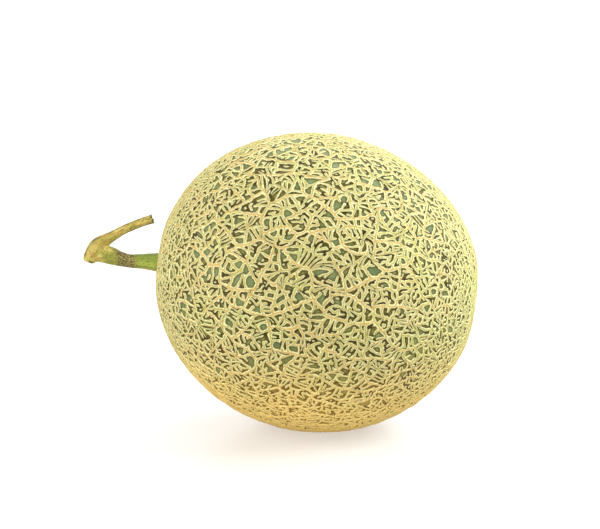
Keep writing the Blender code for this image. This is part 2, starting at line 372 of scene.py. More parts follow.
def crowd(way):
    """Share by which the net is finer: towards both ends and the underside, coarser in front."""
    share = 1.0 + FINER_AT_ENDS * smooth_step(0.50, 0.95, abs(way.x))
    share += FINER_BELOW * smooth_step(0.30, 0.95, -way.z)
    return share * (1.0 - COARSER_IN_FRONT * smooth_step(0.75, 0.98, way.dot(FRONT)))


def span_along(face, way):
    """Lowest and highest corner of a cell along a direction."""
    reach = [loop.vert.co.dot(way) for loop in face.loops]
    return min(reach), max(reach)


def crack_line(face, rungs, rng):
    """Point that a cell's next crack runs through, and the direction across the crack."""
    middle, side, other, angle, reach = long_way(face)
    if rungs is not None:
        low, high = span_along(face, rungs)
        if (high - low) * MEAN_RADIUS < RUNG_ROOM:
            rungs = None
    if rungs is None:
        angle += rng.gauss(0.0, CRACK_SWING)
        way = side * math.cos(angle) + other * math.sin(angle)
        return middle + way * (reach * rng.uniform(-CRACK_SHIFT, CRACK_SHIFT)), way
    angle = math.atan2(rungs.dot(other), rungs.dot(side)) + rng.gauss(0.0, RUNG_SWING)
    way = side * math.cos(angle) + other * math.sin(angle)
    low, high = span_along(face, way)
    return middle + way * (low + (high - low) * rng.uniform(*RUNG_SHIFT) - middle.dot(way)), way


def crack_skin(count):
    """Cells that crack in two, largest first; late cracks run side by side like rungs."""
    rng = random.Random(NET_SEED)
    stay = random.Random(NET_SEED + 2)
    net = first_cells(rng)
    age = net.edges.layers.float.new("age")
    poles = [Vector((-1.0, 0.0, 0.0)), Vector((1.0, 0.0, 0.0))]
    waiting = []
    order = 0
    for face in net.faces:
        middle = face.calc_center_median().normalized()
        if max(middle.dot(pole) for pole in poles) < math.cos(POLE_CELL):
            size = face.calc_area() * crowd(middle) * rng.uniform(*CELL_LUCK)
            heapq.heappush(waiting, (-size, order, face, None))
            order += 1
    cells = len(net.faces)
    while cells < count:
        face, rungs = heapq.heappop(waiting)[2:]
        middle, way = crack_line(face, rungs, rng)
        bends = (rng.uniform(-CRACK_BEND, CRACK_BEND), rng.uniform(-CRACK_BEND, CRACK_BEND))
        sizes = (rng.uniform(*CELL_LUCK), rng.uniform(*CELL_LUCK))
        first = crossing(face, middle, way, True)
        second = crossing(face, middle, way, False)
        if first is None or second is None:
            continue
        start = corner_on(*first[1:], bends[0])
        end = corner_on(*second[1:], bends[1])
        half, loop = bmesh.utils.face_split(face, start, end)
        loop.edge[age] = float(cells)
        if OPEN_FROM < cells < OPEN_TO:
            sizes = [size * (OPEN_LUCK if stay.random() < OPEN_SHARE else 1.0) for size in sizes]
        for cell, size in zip((face, half), sizes):
            kept = way if cells > RUNGS_FROM else None
            share = crowd(cell.calc_center_median().normalized())
            heapq.heappush(waiting, (-cell.calc_area() * share * size, order, cell, kept))
            order += 1
        cells += 1
    return net, age


def split_ridges(net, age, strength):
    """Middle points that let ridges wander, and gaps that leave some as short spurs."""
    rng = random.Random(NET_SEED + 1)
    for vert in net.verts:
        vert[strength] = rng.uniform(0.86, 1.0)
    for edge in list(net.edges):
        span = edge.calc_length() * MEAN_RADIUS
        ends = [edge.verts[0], edge.verts[1]]
        if rng.random() < 0.5:
            ends.reverse()
        late = edge[age] > 0.5 * RUNGS_FROM
        if max(abs(end.co.x) for end in ends) > math.cos(COLLAR_REACH) and span > COLLAR_SPAN:
            first = corner_on(edge, ends[0], 0.33, 0.03)
            second = corner_on(edge_between(first, ends[1]), first, 0.5, 0.03)
            first[strength] = second[strength] = 0.95
            continue
        chance = rng.random()
        if late and chance < SPUR_SHARE and span > SPUR_SPAN:
            far = corner_on(edge, ends[0], 0.48, rng.uniform(-0.16, 0.16))
            low = corner_on(edge_between(far, ends[1]), far, 0.36, rng.uniform(-0.1, 0.1))
            far[strength] = rng.uniform(0.80, 0.95)
            low[strength] = 0.0
        elif late and chance < SPUR_SHARE + FREE_SHARE and span > FREE_SPAN:
            near = corner_on(edge, ends[0], 0.28, rng.uniform(-0.1, 0.1))
            middle = corner_on(edge_between(near, ends[1]), near, 0.34, rng.uniform(-0.2, 0.2))
            far = corner_on(edge_between(middle, ends[1]), middle, 0.52, rng.uniform(-0.1, 0.1))
            near[strength] = 0.0
            middle[strength] = 0.95
            far[strength] = 0.0
        elif span > BEND_SPAN:
            middle = corner_on(edge, ends[0], rng.uniform(0.4, 0.6), rng.uniform(-0.13, 0.13))
            middle[strength] = rng.uniform(0.8, 1.0)


def wander(net):
    """Bends the long straight cracks a little, but not the rings round the two ends."""
    for vert in net.verts:
        free = 1.0 - smooth_step(0.950, 0.985, abs(vert.co.x))
        spot = vert.co * SWAY_GRAIN
        sway = [noise.noise(spot + Vector((0.0, 0.0, 30.0 * axis))) for axis in range(3)]
        vert.co += Vector(sway) * (SWAY * free)
        vert.co.normalize()


# The ridges and the skin between them


def set_in(face, widths, strength, share):
    """Each corner of a cell, set in from the ridges beside it by a share of their half widths."""
    corners = []
    for loop in face.loops:
        up = loop.vert.co.normalized()
        before = up.cross(loop.vert.co - loop.link_loop_prev.vert.co).normalized()
        after = up.cross(loop.link_loop_next.vert.co - loop.vert.co).normalized()
        thick = share * (0.35 + 0.65 * loop.vert[strength])
        low = widths[loop.link_loop_prev.edge] * thick
        high = widths[loop.edge] * thick
        lean = before.dot(after)
        spread = 1.0 - lean * lean
        if spread < 0.05:
            step = (before + after) * (0.25 * (low + high))
        else:
            step = before * ((low - lean * high) / spread) + after * ((high - lean * low) / spread)
        limit = 1.9 * max(low, high)
        if step.length > limit:
            step *= limit / step.length
        corners.append(loop.vert.co + step)
    return corners


def inner_corners(face, widths, strength):
    """Foot of the ridges round one cell; a short side of the cell may close, a long one stays."""
    count = len(face.loops)
    rims = [loop.link_loop_next.vert.co - loop.vert.co for loop in face.loops]
    short = [rim.length < SHORT_RIM / MEAN_RADIUS for rim in rims]
    share = 1.0
    for _ in range(12):
        corners = set_in(face, widths, strength, share)
        for index, rim in enumerate(rims):
            after = (index + 1) % count
            floor = corners[after] - corners[index]
            if short[index] and floor.dot(rim) < 0.10 * rim.length_squared:
                middle = (corners[index] + corners[after]) * 0.5
                corners[index] = middle - rim * 0.06
                corners[after] = middle + rim * 0.06
        kept = True
        for index, rim in enumerate(rims):
            floor = corners[(index + 1) % count] - corners[index]
            if floor.dot(rim) < (0.02 if short[index] else 0.10) * rim.length_squared:
                kept = False
        if kept:
            break
        share *= 0.86
    return [corners[i] * 0.68 + (corners[i - 1] + corners[(i + 1) % count]) * 0.16 for i in range(count)]


def lobe_directions():
    lobes = []
    for rise, swing, size, narrow in SHOULDERS:
        spin = Matrix.Rotation(math.radians(swing), 3, "X")
        up = Vector((math.cos(math.radians(rise)), 0.0, math.sin(math.radians(rise))))
        lobes.append((spin @ up, size, narrow))
    return lobes


LOBES = lobe_directions()
POSE = Matrix.Rotation(-TURN, 3, "Z") @ Matrix.Rotation(TILT, 3, "Y")
DROP = Matrix.Rotation(-STALK_DROP, 3, "Y")


def skin_point(direction, lift):
    """Point of the skin in a direction from the fruit's centre, raised by lift."""
    from_stem = math.acos(max(-1.0, min(1.0, -direction.x)))
    from_blossom = math.pi - from_stem
    way = DROP @ direction
    point = Vector((way.x * LENGTH * 0.5, way.y * DIAMETER * 0.5, way.z * DIAMETER * 0.5))
    swell = 1.0
    for lobe, size, narrow in LOBES:
        swell += size * math.exp(narrow * (way.dot(lobe) - 1.0))
    point *= swell
    sink = STEM_HOLLOW[0] * math.exp(-((from_stem / STEM_HOLLOW[1]) ** 4))
    sink += BLOSSOM_HOLLOW[0] * math.exp(-((from_blossom / BLOSSOM_HOLLOW[1]) ** 4))
    point += point.normalized() * (lift - sink)
    return CENTRE + POSE @ point


def relief_at(point):
    """Share of the net's height that is left near the resting spot."""
    if point.z > SPOT_TOP:
        return 1.0
    return smooth_step(SPOT_FADE[0], SPOT_FADE[1], math.hypot(point.x, point.y))


def size_ridges(net, age, bold):
    """Height at each corner and half width of each ridge; old cracks along the fruit are bold."""
    heights = {}
    widths = {}
    for edge in net.edges:
        start, end = [vert.co for vert in edge.verts]
        run = end - start
        lengthwise = smooth_step(0.35, 0.90, abs(run.x) / max(run.length, 1e-9))
        old = (1.0 - smooth_step(*BOLD_CRACKS, edge[age])) * (0.35 + 0.65 * lengthwise)
        height = FINE_RIDGE[0] + (BOLD_RIDGE[0] - FINE_RIDGE[0]) * old
        width = FINE_RIDGE[1] + (BOLD_RIDGE[1] - FINE_RIDGE[1]) * old
        slim = 1.0 / math.sqrt(max(1.0, crowd((start + end).normalized())))
        widths[edge] = slim * width / MEAN_RADIUS
        for vert in edge.verts:
            if heights.get(vert, 0.0) < height:
                heights[vert] = height
                vert[bold] = old
    return heights, widths


def finish_pole(net, face, side, lift, ridge, bold, room):
    """Round collar under the stalk, or the round corky scar at the blossom end."""
    for out, rise, value in COLLAR_RINGS if side < 0.0 else SCAR_RINGS:
        bmesh.ops.inset_individual(net, faces=[face], thickness=0.0, depth=0.0)
        for loop in face.loops:
            around = math.atan2(loop.vert.co.z, loop.vert.co.y)
            spot = Vector((math.cos(around), math.sin(around), out * 40.0))
            wide = out * (1.0 + 0.15 * noise.noise(spot * 1.7))
            off = math.sin(wide)
            loop.vert.co = Vector((side * math.cos(wide), off * math.cos(around), off * math.sin(around)))
            loop.vert[lift] = rise
            loop.vert[ridge] = value
            loop.vert[bold] = 0.8
            loop.vert[room] = 1.0


def room_round(vert):
    """Distance from the middle of a gap to the nearest foot of a ridge."""
    near = 1.0
    for face in vert.link_faces:
        start, end = [corner.co for corner in face.verts if corner is not vert]
        along = end - start
        share = (vert.co - start).dot(along) / max(along.length_squared, 1e-12)
        near = min(near, (start + along * min(1.0, max(0.0, share)) - vert.co).length)
    return near


def cut_at_floor(net):
    """The flat resting spot: all below the floor is cut off and the hole is closed."""
    geometry = net.verts[:] + net.edges[:] + net.faces[:]
    cut = bmesh.ops.bisect_plane(
        net, geom=geometry, dist=0.000001, plane_co=(0.0, 0.0, 0.0), plane_no=(0.0, 0.0, -1.0),
        clear_outer=True)
    rim = [item for item in cut["geom_cut"] if isinstance(item, bmesh.types.BMEdge)]
    bmesh.ops.edgeloop_fill(net, edges=rim)


def unwrap_by_side(solid):
    """Six tiles, one for each side of a cube round the fruit, three across and two up."""
    layer = solid.loops.layers.uv.new("OFBake")
    for face in solid.faces:
        off = face.calc_center_median() - CENTRE
        sizes = [abs(off.x), abs(off.y), abs(off.z)]
        axis = sizes.index(max(sizes))
        side = 0 if off[axis] > 0.0 else 1
        for loop in face.loops:
            way = loop.vert.co - CENTRE
            away = max(abs(way[axis]), 1e-9)
            across = way[(axis + 1) % 3] / away
            rise = way[(axis + 2) % 3] / away
            loop[layer].uv = ((axis + 0.5 + across * 0.44) / 3.0, (side + 0.5 + rise * 0.44) / 2.0)


def grow_rind():
    """The closed skin of the fruit with its net, a value for each point of the ridges."""
    net, age = crack_skin(NET_CELLS)
    strength = net.verts.layers.float.new("strength")
    split_ridges(net, age, strength)
    wander(net)
    lift = net.verts.layers.float.new("lift")
    ridge = net.verts.layers.float.new("net_profile")
    bold = net.verts.layers.float.new("net_bold")
    room = net.verts.layers.float.new("net_room")
    heights, widths = size_ridges(net, age, bold)
    cells = list(net.faces)
    feet = [inner_corners(face, widths, strength) for face in cells]
    details = [[loop.vert[strength] for loop in face.loops] for face in cells]
    for vert in net.verts:
        power = vert[strength]
        vert[lift] = heights[vert] * power
        vert[ridge] = FOOT_LEVEL + (1.0 - FOOT_LEVEL) * power
    bmesh.ops.inset_individual(net, faces=cells, thickness=0.0, depth=0.0)
    for face, corners, detail in zip(cells, feet, details):
        for loop, corner, power in zip(face.loops, corners, detail):
            loop.vert.co = corner.normalized()
            loop.vert[lift] = 0.0
            loop.vert[ridge] = FOOT_LEVEL - FOOT_LEVEL * power
    for face in cells:
        middle = face.calc_center_median().normalized()
        if abs(middle.x) > math.cos(POLE_CELL):
            finish_pole(net, face, math.copysign(1.0, middle.x), lift, ridge, bold, room)
    for vert in bmesh.ops.poke(net, faces=cells)["verts"]:
        reach = room_round(vert) * MEAN_RADIUS / MILLIMETRE
        vert[room] = reach
        for edge in vert.link_edges:
            edge.other_vert(vert)[room] = reach
        vert.co.normalize()
        vert[lift] = GAP_RISE
        vert[ridge] = FOOT_LEVEL - reach if abs(vert.co.x) < 0.9999 else POLE_LEVEL
    for vert in net.verts:
        direction = vert.co.normalized()
        low = skin_point(direction, 0.0)
        rough = 1.0 + 0.22 * noise.noise(direction * 22.0)
        vert.co = skin_point(direction, vert[lift] * rough * relief_at(low))
    cut_at_floor(net)
    bmesh.ops.triangulate(net, faces=net.faces, quad_method="BEAUTY", ngon_method="BEAUTY")
    bmesh.ops.recalc_face_normals(net, faces=net.faces)
    unwrap_by_side(net)
    mesh = bpy.data.meshes.new("rind")
    net.to_mesh(mesh)
    net.free()
    mesh.shade_smooth()
    return mesh


# Stalk and vine


def smooth_route(route):
    """A route with more points between its own, each with a radius, on one smooth curve."""
    points = [Vector(point) for point in route]
    line = []
    for index in range(len(points) - 1):
        before = points[max(0, index - 1)]
        start = points[index]
        end = points[index + 1]
        after = points[min(len(points) - 1, index + 2)]
        for step in range(ROUTE_STEPS):
            share = step / ROUTE_STEPS
            ahead = (end - before) * 0.5
            back = (after - start) * 0.5
            square = share * share
            cube = square * share
            point = start * (2.0 * cube - 3.0 * square + 1.0) + ahead * (cube - 2.0 * square + share)
            point += end * (3.0 * square - 2.0 * cube) + back * (cube - square)
            line.append(point)
    line.append(points[-1])
    return [Vector((p[0] + CENTRE.x, p[1] + CENTRE.y, p[2] + CENTRE.z, p[3])) for p in line]


def stalk_line():
    """From the floor of the hollow to inside the knot."""
    stem_way = (skin_point(Vector((-1.0, 0.0, 0.0)), 0.0) - CENTRE).normalized()
    foot = skin_point(Vector((-1.0, 0.0, 0.0)), 0.0) + stem_way * 0.0001
    line = [Vector((*foot, STALK_FOOT_RADIUS * 1.03))]
    raised = foot + stem_way * 0.0016
    line.append(Vector((*raised, STALK_FOOT_RADIUS * 0.95)))
    return line + smooth_route(STALK_ROUTE)


def along_line(line, share):
    """Place, direction and radius at a share of the line's length, and that length."""
    spans = [(line[i + 1].xyz - line[i].xyz).length for i in range(len(line) - 1)]
    whole = sum(spans)
    left = share * whole
    for index, span in enumerate(spans):
        if left <= span or index == len(spans) - 1:
            part = left / span
            point = line[index].lerp(line[index + 1], part)
            before = line[max(0, index - 1)].xyz
            after = line[min(len(line) - 1, index + 2)].xyz
            return point.xyz, (after - before).normalized(), point.w, whole
        left -= span


def cross_ways(ahead):
    """Two directions across a rod that runs ahead, one of them close to upright."""
    side = ahead.cross(Vector((0.0, 1.0, 0.0))).normalized()
    return side, side.cross(ahead).normalized()


def bend_rod(line, shape, sides, rings):
    """A rod laid along a line of points; shape gives the share to add to its radius."""
    rod = bmesh.new()
    bmesh.ops.create_cone(rod, cap_ends=True, segments=sides, radius1=1.0, radius2=1.0, depth=1.0)
    long_edges = [e for e in rod.edges if abs(e.verts[0].co.z - e.verts[1].co.z) > 0.5]
    bmesh.ops.subdivide_edges(rod, edges=long_edges, cuts=rings - 1)
    for vert in rod.verts:
        share = min(1.0, max(0.0, vert.co.z + 0.5))
        around = math.atan2(vert.co.y, vert.co.x)
        place, ahead, radius, _ = along_line(line, share)
        side, other = cross_ways(ahead)
        out = radius * (1.0 + shape(around, share))
        vert.co = place + (side * math.cos(around) + other * math.sin(around)) * out
    bmesh.ops.recalc_face_normals(rod, faces=rod.faces)
    return rod


def mark_fibres(solid, line):
    """Where each point is along and around the line, for patterns that run with the fibres."""
    layer = solid.verts.layers.float_vector.new("fibre")
    steps = 160
    track = [along_line(line, step / steps) for step in range(steps + 1)]
    for vert in solid.verts:
        best = min(range(steps + 1), key=lambda i: (track[i][0] - vert.co).length_squared)
        place, ahead, _, whole = track[best]
        side, other = cross_ways(ahead)
        off = vert.co - place
        around = math.atan2(off.dot(other), off.dot(side))
        vert[layer] = (math.cos(around), math.sin(around), best / steps * whole * 100.0)


def rib_stalk(around, share):
    ribs = 0.055 * math.cos(5.0 * around + 1.2 * share) + 0.02 * math.cos(11.0 * around - 2.0 * share)
    spot = Vector((math.cos(around) * 1.6, math.sin(around) * 1.6, share * 9.0))
    return ribs + 0.05 * noise.noise(spot)


def rib_vine(around, share):
    ribs = 0.05 * math.cos(5.0 * around + 3.0 * share)
    spot = Vector((math.cos(around) * 2.0, math.sin(around) * 2.0, share * 10.0))
    return ribs + 0.10 * noise.noise(spot)


def carve_stalk():
    line = stalk_line()
    rod = bend_rod(line, rib_stalk, sides=60, rings=90)
    mark_fibres(rod, line)
    mesh = bpy.data.meshes.new("stalk")
    rod.to_mesh(mesh)
    rod.free()
    mesh.shade_smooth()
    mesh.set_sharp_from_angle(angle=math.radians(60.0))
    return mesh


def melt_together(rods):
    """One closed mesh round several rods that run into each other."""
    rough = bpy.data.meshes.new("vine_rough")
    joined = bmesh.new()
    for rod in rods:
        rod.to_mesh(rough)
        rod.free()
        joined.from_mesh(rough)
    joined.to_mesh(rough)
    joined.free()
    holder = bpy.data.objects.new("vine_rough", rough)
    bpy.context.scene.collection.objects.link(holder)
    melt = holder.modifiers.new("melt", "REMESH")
    melt.mode = "VOXEL"
    melt.voxel_size = VINE_GRAIN
    bpy.context.view_layer.update()
    mesh = bpy.data.meshes.new_from_object(holder.evaluated_get(bpy.context.evaluated_depsgraph_get()))
    bpy.data.objects.remove(holder, do_unlink=True)
    bpy.data.meshes.remove(rough)
    return mesh


def ripple_bark(solid, tip, away, layer):
    """Fibres, lumps and a frayed end on the melted vine."""
    solid.normal_update()
    moves = []
    for vert in solid.verts:
        round_x, round_y, along = vert[layer]
        spot = Vector((round_x * 3.2, round_y * 3.2, along * 0.9))
        ripple = noise.noise(spot) * 0.00016 + noise.noise(spot * 2.6) * 0.00008
        lump = noise.noise(vert.co * 420.0) * 0.00014
        move = vert.normal * (ripple + lump)
        near_tip = smooth_step(-0.0012, 0.0, (vert.co - tip).dot(away))
        frayed = noise.noise(Vector((round_x * 2.4, round_y * 2.4, 7.0)))
        move += away * (near_tip * (0.0016 * frayed - 0.0002))
        moves.append(move)
    for vert, move in zip(solid.verts, moves):
        vert.co += move


def add_splinters(solid, tip, away, layer):
    """Short torn fibres round the cut end of the arm."""
    rng = random.Random(SPLINTER_SEED)
    side = away.orthogonal().normalized()
    other = away.cross(side)
    for number in range(SPLINTERS):
        around = math.tau * number / SPLINTERS + rng.uniform(-0.2, 0.2)
        out = side * math.cos(around) + other * math.sin(around)
        long = rng.uniform(0.0010, 0.0022)
        base = tip + out * 0.0018 - away * 0.0009
        lean = (away + out * rng.uniform(0.1, 0.7)).normalized()
        turn = lean.to_track_quat("Z", "Y").to_matrix().to_4x4()
        place = Matrix.Translation(base + lean * (long * 0.5)) @ turn
        made = bmesh.ops.create_cone(solid, cap_ends=True, segments=5, radius1=0.00042, radius2=0.00010,
                                     depth=long, matrix=place)
        for vert in made["verts"]:
            vert[layer] = (math.cos(around), math.sin(around), SPLINTER_PLACE)


def carve_vine():
    """Knot and arm melted into one with the end of the stalk, then rippled like dry bark."""
    line = smooth_route(VINE_ROUTE)
    arm = bend_rod(line, rib_vine, sides=40, rings=90)
    web = bend_rod(smooth_route(KNOT_FILL), rib_vine, sides=32, rings=20)
    stub = smooth_route(STALK_ROUTE)[STALK_END_STEPS:]
    for index, point in enumerate(stub):
        point.w *= 0.80 + 0.20 * smooth_step(0.0, 5.0, float(index))
    branch = bend_rod(stub, rib_stalk, sides=40, rings=24)
    solid = bmesh.new()
    solid.from_mesh(melt_together((arm, branch, web)))
    for _ in range(VINE_SMOOTHINGS):
        bmesh.ops.smooth_vert(solid, verts=solid.verts, factor=0.5, use_axis_x=True, use_axis_y=True,
                              use_axis_z=True)
    mark_fibres(solid, line)
    layer = solid.verts.layers.float_vector["fibre"]
    tip = line[-1].xyz
    away = (line[-1].xyz - line[-4].xyz).normalized()
    ripple_bark(solid, tip, away, layer)
    add_splinters(solid, tip, away, layer)
    clean = bpy.data.meshes.new("vine")
    solid.to_mesh(clean)
    solid.free()
    clean.shade_smooth()
    return clean


# Finishes


class Finish:
    """A material with short calls for its nodes."""

    def __init__(self, name):
        self.material = bpy.data.materials.new(name)
        self.material.use_nodes = True
        self.tree = self.material.node_tree
        self.shader = self.tree.nodes["Principled BSDF"]
        self.place = self.tree.nodes.new("ShaderNodeTexCoord").outputs["Object"]

    def put(self, socket, value):
        if isinstance(value, bpy.types.NodeSocket):
            self.tree.links.new(value, socket)
        else:
            socket.default_value = value

    def reading(self, name, output="Fac"):
        """A value that the mesh holds at each of its points."""
        node = self.tree.nodes.new("ShaderNodeAttribute")
        node.attribute_name = name
        return node.outputs[output]

    def sums(self, operation, first, second=0.0, third=0.0):
        node = self.tree.nodes.new("ShaderNodeMath")
        node.operation = operation
        for socket, value in zip(node.inputs, (first, second, third)):
            self.put(socket, value)
        return node.outputs[0]

    def both(self, first, second):
        return self.sums("MULTIPLY", first, second)

    def stray(self, grain, amount, value):
        """A value that strays by some grain."""
        return self.sums("MULTIPLY_ADD", grain, amount, value)

    def grain(self, scale, detail=2.0, rough=0.5, place=None):
        node = self.tree.nodes.new("ShaderNodeTexNoise")
        self.put(node.inputs["Vector"], place or self.place)
        node.inputs["Scale"].default_value = scale
        node.inputs["Detail"].default_value = detail
        node.inputs["Roughness"].default_value = rough
        return node.outputs["Fac"]

    def specks(self, scale):
        node = self.tree.nodes.new("ShaderNodeTexVoronoi")
        self.put(node.inputs["Vector"], self.place)
        node.inputs["Scale"].default_value = scale
        return node.outputs["Distance"]

    def step(self, value, low, high, start=0.0, end=1.0):
        """Goes smoothly from start to end while the value goes from low to high."""
        node = self.tree.nodes.new("ShaderNodeMapRange")
        node.interpolation_type = "SMOOTHSTEP"
        self.put(node.inputs["Value"], value)
        for name, number in (("From Min", low), ("From Max", high), ("To Min", start), ("To Max", end)):
            self.put(node.inputs[name], number)
        return node.outputs["Result"]

    def blend(self, share, first, second):
        node = self.tree.nodes.new("ShaderNodeMix")
        node.data_type = "RGBA"
        self.put(node.inputs[0], share)
        self.put(node.inputs[6], first)
        self.put(node.inputs[7], second)
        return node.outputs[2]

    def height(self, value, distance, strength=1.0, below=None):
        node = self.tree.nodes.new("ShaderNodeBump")
        node.inputs["Distance"].default_value = distance
        node.inputs["Strength"].default_value = strength
        self.put(node.inputs["Height"], value)
        if below is not None:
            self.put(node.inputs["Normal"], below)
        return node.outputs["Normal"]

    def axis(self, which, vector=None):
        node = self.tree.nodes.new("ShaderNodeSeparateXYZ")
        self.put(node.inputs[0], vector or self.place)
        return node.outputs[which]


def stem_ground(stem, lines, ragged, arm):
    """Green stalk, straw-coloured vine, and where the one turns into the other."""
    green_share = stem.step(stem.grain(3.0, 3.0, 0.6, lines), 0.35, 0.65)
    green = stem.blend(green_share, STALK_DARK, STALK_PALE)
    straw_share = stem.step(stem.grain(5.0, 3.0, 0.6, lines), 0.36, 0.64)
    straw = stem.blend(straw_share, STRAW_DARK, STRAW_PALE)
    straw = stem.blend(stem.step(stem.grain(170.0), 0.46, 0.66, 0.0, 0.75), straw, OLIVE)
    straw = stem.blend(stem.step(stem.grain(420.0, 3.0), 0.50, 0.64, 0.0, 0.6), straw, TAN)
    dry = stem.sums("MAXIMUM", stem.step(ragged, *GREEN_TO_DRY, 1.0, 0.0), arm)
    return stem.blend(dry, green, straw)


def stem_edges(stem, colour, lines, turn, high, arm):
    """Darker upper edge where the bark is old, painted shade as a softer dark edge under the arm, a tan
    belly.
    """
    upper = stem.stray(stem.grain(6.0, 2.0, 0.6, lines), 0.5, turn)
    blotches = stem.step(stem.grain(240.0), 0.30, 0.62, 0.35, 1.0)
    worn = stem.both(blotches, stem.step(high, *OLD_ABOVE))
    colour = stem.blend(stem.both(stem.step(upper, 0.94, 1.14, 0.0, 0.85), worn), colour, OLD_EDGE)
    # Painted shade: a softer dark edge along the underside of the arm
    under = stem.stray(stem.grain(6.0, 2.0, 0.6, lines), -0.5, turn)
    colour = stem.blend(stem.both(stem.step(under, -1.14, -1.00, 0.7, 0.0), arm), colour, PAINTED_UNDER_SHADE)
    belly = stem.step(stem.stray(stem.grain(300.0), 0.003, high), *BELLY_BELOW, 0.6, 0.0)
    return stem.blend(belly, colour, BELLY)


def stem_specks(stem, colour, across, high):
    """Brown patch where the stalk dries, with dark and pale specks in it and a few elsewhere."""
    patch = stem.both(stem.step(across, *PATCH_FROM), stem.step(across, *PATCH_TO, 1.0, 0.0))
    patch = stem.both(patch, stem.step(high, *PATCH_BELOW, 1.0, 0.0))
    colour = stem.blend(stem.both(patch, 0.62), colour, PATCH)
    dark = stem.both(patch, stem.step(stem.grain(1300.0), 0.47, 0.55))
    colour = stem.blend(stem.both(dark, 0.9), colour, DARK_SPECKS)
    pale = stem.both(patch, stem.step(stem.grain(2300.0, 1.0), 0.60, 0.66))
    colour = stem.blend(stem.both(pale, 0.8), colour, PALE_SPECKS)
    return stem.blend(stem.step(stem.grain(1000.0), 0.55, 0.63, 0.0, 0.65), colour, FEW_SPECKS)


def stem_finish(name):
    """Fibrous stem: stripes run along it, with brown specks and a worn, drier patch."""
    stem = Finish(name)
    fibre = stem.reading("fibre", "Vector")
    stretch = stem.tree.nodes.new("ShaderNodeMapping")
    stretch.inputs["Scale"].default_value = (1.0, 1.0, 0.22)
    stem.put(stretch.inputs["Vector"], fibre)
    lines = stretch.outputs["Vector"]
    across = stem.axis(0)
    ragged = stem.stray(stem.grain(260.0), 0.010, across)
    high = stem.axis(2)
    arm = stem.step(high, *ARM_ABOVE)
    colour = stem_ground(stem, lines, ragged, arm)
    dashes = stem.step(stem.grain(11.0, 2.0, 0.6, lines), 0.52, 0.60, 0.0, 0.8)
    colour = stem.blend(stem.both(dashes, arm), colour, DASHES)
    leafy = stem.both(stem.step(ragged, *LEAFY_FROM), stem.step(ragged, *LEAFY_TO, 1.0, 0.0))
    leafy = stem.both(leafy, stem.step(high, *LEAFY_BELOW, 0.8, 0.0))
    colour = stem.blend(leafy, colour, LEAFY_GREEN)
    colour = stem_edges(stem, colour, lines, stem.axis(0, fibre), high, arm)
    colour = stem_specks(stem, colour, across, high)
    off = stem.sums("ABSOLUTE", stem.sums("SUBTRACT", across, CUT_PLACE))
    cut = stem.both(stem.step(off, *CUT_EDGE, 1.0, 0.0), stem.step(high, *CUT_BELOW, 1.0, 0.0))
    colour = stem.blend(cut, colour, CUT_END)
    torn = stem.step(stem.axis(2, fibre), 4.05, 4.35, 0.0, 0.8)
    colour = stem.blend(stem.both(torn, arm), colour, TORN_END)
    stem.put(stem.shader.inputs["Base Color"], colour)
    stem.shader.inputs["Roughness"].default_value = 0.56
    stem.shader.inputs["Specular IOR Level"].default_value = 0.25
    fine = stem.height(stem.grain(9.0, 3.0, 0.6, lines), 0.0003, 0.6)
    stem.put(stem.shader.inputs["Normal"], stem.height(stem.grain(1300.0), 0.0002, 0.5, fine))
    return stem.material


def rind_skin(rind, level, room, ground_spot_and_bounce):
    """Grey-green skin in the gaps, dark at the foot of the ridges as the fissures' own colour and painted
    shade, golden near the floor with painted bounce light.
    """
    skin = rind.blend(rind.step(rind.grain(36.0, 3.0), 0.32, 0.66), SKIN_DARK, SKIN_PALE)
    skin = rind.blend(rind.step(rind.grain(12.0), 0.48, 0.66, 0.0, 0.6), skin, SKIN_OLIVE)
    skin = rind.blend(rind.step(room, 0.45, 1.00, 0.9, 0.0), skin, SKIN_IN_NARROW_GAPS)
    skin = rind.blend(rind.step(rind.specks(1100.0), 0.12, 0.26, 0.4, 0.0), skin, PORES)
    # Near the floor: golden ground spot, lightened by painted bounce light
    skin = rind.blend(ground_spot_and_bounce, skin, rind.blend(0.7, skin, SKIN_GOLD_BOUNCE_LIT))
    # Darkest where ridges meet the skin and where gaps are narrow: partly the fissures' colour, partly
    # painted shade in the gaps
    foot = rind.both(rind.step(level, -0.85, -0.45), rind.step(level, 0.02, 0.18, 1.0, 0.0))
    foot = rind.both(foot, rind.step(room, 0.30, 1.10, 1.0, 0.40))
    foot = rind.both(foot, rind.step(rind.grain(240.0), 0.30, 0.55, 0.60, 1.0))
    return rind.blend(foot, skin, rind.blend(ground_spot_and_bounce, GAP_FISSURE_AND_SHADE, GAP_FISSURE_AND_SHADE_GOLD))


def rind_cork(rind, level, bold, ground_spot_and_bounce):
    """Cork with a brown groove along the crests, pale rims beside it that are partly a painted highlight,
    golden near the floor with painted bounce light.
    """
    cork = rind.blend(rind.step(rind.grain(90.0), 0.46, 0.66), CORK, CORK_WARM)
    cork = rind.blend(rind.step(rind.grain(48.0), 0.46, 0.62, 0.0, 0.75), cork, CORK_GREEN)
    cork = rind.blend(rind.step(rind.grain(2600.0), 0.35, 0.75, 0.0, 0.25), cork, CORK_BROWN)
    groove = rind.both(rind.step(level, 0.52, 0.86), rind.step(bold, 0.1, 0.8, 0.55, 0.85))
    cork = rind.blend(groove, cork, CORK_GROOVE)
    cork = rind.blend(rind.step(bold, 0.55, 0.95, 0.0, 0.45), cork, BOLD_TAN)
    # Pale rims on both flanks of a ridge: partly the cork's own tone, partly a painted highlight
    rims = rind.both(rind.step(level, 0.12, 0.30), rind.step(level, 0.42, 0.62, 1.0, 0.0))
    cork = rind.blend(rind.both(rims, 0.85), cork, CORK_RIM_AND_HIGHLIGHT)
    return rind.blend(ground_spot_and_bounce, cork, rind.blend(0.75, cork, CORK_GOLD_BOUNCE_LIT))


